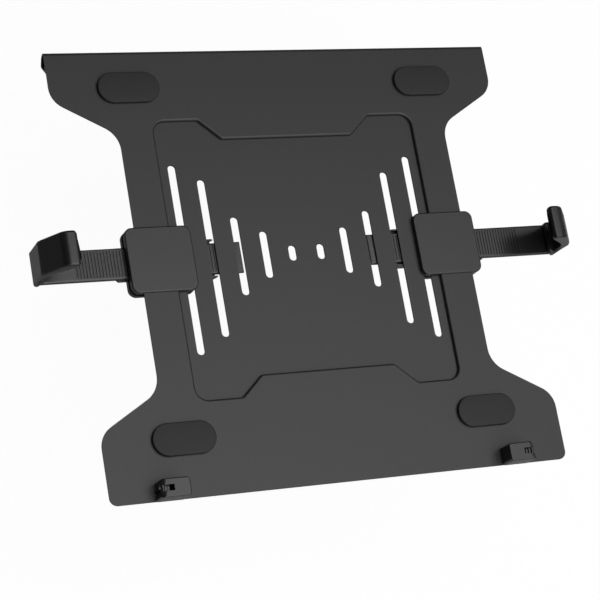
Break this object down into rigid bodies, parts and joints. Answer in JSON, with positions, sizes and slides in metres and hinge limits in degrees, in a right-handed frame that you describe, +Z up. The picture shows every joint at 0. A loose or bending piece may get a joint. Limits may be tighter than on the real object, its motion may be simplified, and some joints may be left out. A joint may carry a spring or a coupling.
{
  "type": "laptop tray",
  "caption": "Steel laptop tray for a monitor arm, with anti-slip pads, front stops, a slotted recessed panel and sliding side arms with hooks.",
  "frame": {"origin": "middle of the slot pattern on the underside of the recessed panel, where an arm head bolts on", "axes": "+X to the user's right, +Y to the rolled rear edge, +Z up, away from the arm head"},
  "size_m": [0.3538, 0.2842, 0.0434],
  "materials": {
    "powder_coated_steel": "fine matte black powder coat on pressed steel",
    "eva_foam": "closed-cell EVA foam, matte",
    "moulded_abs": "black ABS with a fine spark texture",
    "moulded_nylon": "black moulded nylon, satin",
    "spring_steel": "bare spring steel",
    "black_screw": "blackened steel screws"
  },
  "bodies": {
    "tray": {"tray_plate": "powder_coated_steel", "pad_rear_left": "eva_foam", "pad_rear_right": "eva_foam", "pad_front_left": "eva_foam", "pad_front_right": "eva_foam", "left_cover": "moulded_abs", "right_cover": "moulded_abs", "left_housing": "moulded_abs", "right_housing": "moulded_abs", "clamp_screws": "black_screw", "left_detent_spring": "spring_steel", "right_detent_spring": "spring_steel", "left_stop": "moulded_abs", "right_stop": "moulded_abs"},
    "left_slider": {"left_arm": "moulded_nylon", "left_hook": "moulded_nylon", "left_hook_screws": "black_screw"},
    "right_slider": {"right_arm": "moulded_nylon", "right_hook": "moulded_nylon", "right_hook_screws": "black_screw"}
  },
  "joints": [
    {"name": "left_arm_slide", "type": "slide", "parent": "tray", "child": "left_slider", "axis": [-1, 0, 0], "range_m": [-0.04, 0.032]},
    {"name": "right_arm_slide", "type": "slide", "parent": "tray", "child": "right_slider", "axis": [1, 0, 0], "range_m": [-0.04, 0.032]}
  ]
}
